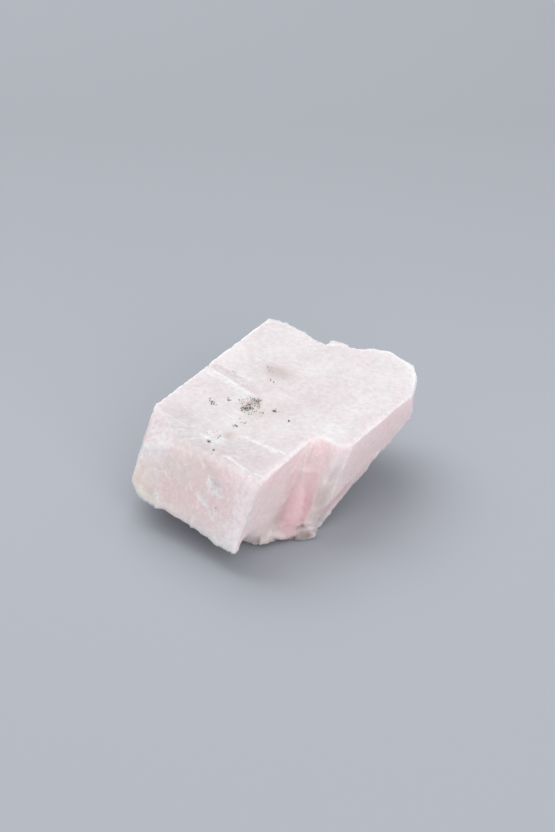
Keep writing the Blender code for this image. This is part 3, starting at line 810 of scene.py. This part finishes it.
GRAIN_BEDS = (
    ((30.6, -30.4, 0), 1.0, 36, 0.42),
    ((29.2, -29.6, 0), 0.9, 14, 0.4),
    ((32.6, -31.8, 0), 1.0, 16, 0.4),
    ((36.5, -29.9, 0), 0.9, 24, 0.4),
    ((35.8, -31.4, 0), 0.7, 12, 0.4),
    ((33.6, -30.2, 0), 2.0, 60, 0.28),
    ((28.8, -27.6, 0), 1.1, 18, 0.36),
    ((31.8, -28.4, 0), 1.2, 20, 0.36),
    ((32.5, -34.8, 0), 0.35, 4, 0.35),
    ((31.6, -23.3, 0), 0.2, 2, 0.4),
    ((34.8, -27.1, 0), 0.9, 8, 0.35),
    ((30.2, -25.0, 0), 1.6, 10, 0.28),
    ((25.8, -43.9, 0), 0.4, 6, 0.45),
    ((24.8, -42.1, 0), 0.6, 10, 0.42),
    ((23.9, -40.9, 0), 0.35, 6, 0.5),
    ((29.9, -38.0, 0), 0.5, 9, 0.46),
    ((18.7, -26.6, 0), 0.5, 10, 0.48),
    ((22.5, -25.7, 0), 0.8, 7, 0.32),
    ((23.5, -27.4, 0), 0.5, 4, 0.32),
    ((5.7, -28.4, 0), 0.45, 10, 0.5),
    ((9.6, -27.4, 0), 0.5, 3, 0.36),
    ((10.7, -26.9, 0), 0.4, 2, 0.32),
    ((2.4, -24.1, 0), 0.2, 4, 0.5),
    ((1.2, -23.7, 0), 0.5, 5, 0.26),
    ((35.3, -20.7, 0), 0.4, 9, 0.5),
    ((36.7, -21.0, 0), 0.2, 3, 0.4),
    ((33.9, -12.9, 0), 0.1, 3, 0.65),
    ((56.4, -39.5, 0), 0.5, 6, 0.3),
    ((53.6, -36.9, 0), 0.7, 8, 0.28),
    ((51.0, -34.6, 0), 0.7, 6, 0.28),
    ((49.7, -33.6, 0), 0.3, 3, 0.3),
    ((49.7, -31.6, 0), 0.3, 3, 0.3),
    ((0, -13.3, 16.8), 0.2, 2, 0.42),
    ((0, -0.2, 18.4), 0.2, 1, 0.4),
    ((0.2, -0.3, 2.6), 0.2, 1, 0.3),
    ((0.8, -0.2, 10.1), 0.2, 1, 0.3),
    ((0, -24.7, 2.9), 0.1, 1, 0.25),
    ((0, -47.5, 5.5), 0.1, 1, 0.3),
)
grains = scattered("pyrite_grains", GRAIN_BEDS, across=(0.6, 1.3), deep_through=(0.6, 1.3),
                   thickness=0.8, lift=0.12, ragged=0.06)

pyrite = bpy.data.materials.new("dull pyrite")
pyrite.use_nodes = True
pyrite_shader = pyrite.node_tree.nodes["Principled BSDF"]
pyrite_shader.inputs["Base Color"].default_value = (0.125, 0.115, 0.085, 1.0)
pyrite_shader.inputs["Metallic"].default_value = 0.3
pyrite_shader.inputs["Roughness"].default_value = 0.35
grains.data.materials.append(pyrite)
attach(grains, "root")

# --------------------------------------------------------------- calcite_crumbs
# White crumbs of calcite, crushed where the grains broke out. They lie in the pit and
# by the ledges, and hold to the crystal like the chips that they are.

CRUMB_BEDS = (
    ((33.2, -29.8, 0), 1.6, 44, 0.42),
    ((31.0, -31.6, 0), 1.2, 16, 0.35),
    ((37.0, -34.0, 0), 1.2, 24, 0.5),
    ((30.2, -25.6, 0), 1.6, 14, 0.35),
    ((26.5, -41.8, 0), 1.4, 14, 0.35),
    ((36.4, -19.8, 0), 0.9, 8, 0.4),
    ((21.0, -26.5, 0), 1.8, 14, 0.35),
    ((9.4, -28.4, 0), 1.8, 40, 0.42),
    ((10.0, -30.0, 0), 1.2, 22, 0.6),
    ((0, -11.5, 19.5), 1.6, 12, 0.35),
    ((46.4, -48.0, 0), 1.0, 8, 0.35),
    ((59.5, -45.0, 0), 1.6, 10, 0.35),
    ((2.6, -4.0, 0.6), 0.9, 5, 0.45),
    ((52.0, -48.0, 0), 1.6, 8, 0.35),
    ((46.0, -38.0, 0), 1.6, 8, 0.35),
    ((56.0, -40.0, 0), 1.4, 6, 0.35),
    ((0, -18.4, 9.6), 0.9, 12, 0.5),
    ((0, -14.6, 11.6), 0.8, 6, 0.35),
    ((0, -19.5, 16.0), 1.4, 8, 0.35),
    ((0, -41.0, 23.6), 1.2, 8, 0.4),
)
crumbs = scattered("calcite_crumbs", CRUMB_BEDS, across=(0.5, 1.5), deep_through=(0.5, 1.3),
                   thickness=0.6, lift=0.1, ragged=0.08)

chalky = bpy.data.materials.new("crushed calcite")
chalky.use_nodes = True
chalky_shader = chalky.node_tree.nodes["Principled BSDF"]
chalky_shader.inputs["Base Color"].default_value = (0.88, 0.86, 0.85, 1.0)
chalky_shader.inputs["Roughness"].default_value = 0.5
crumbs.data.materials.append(chalky)
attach(crumbs, "root")
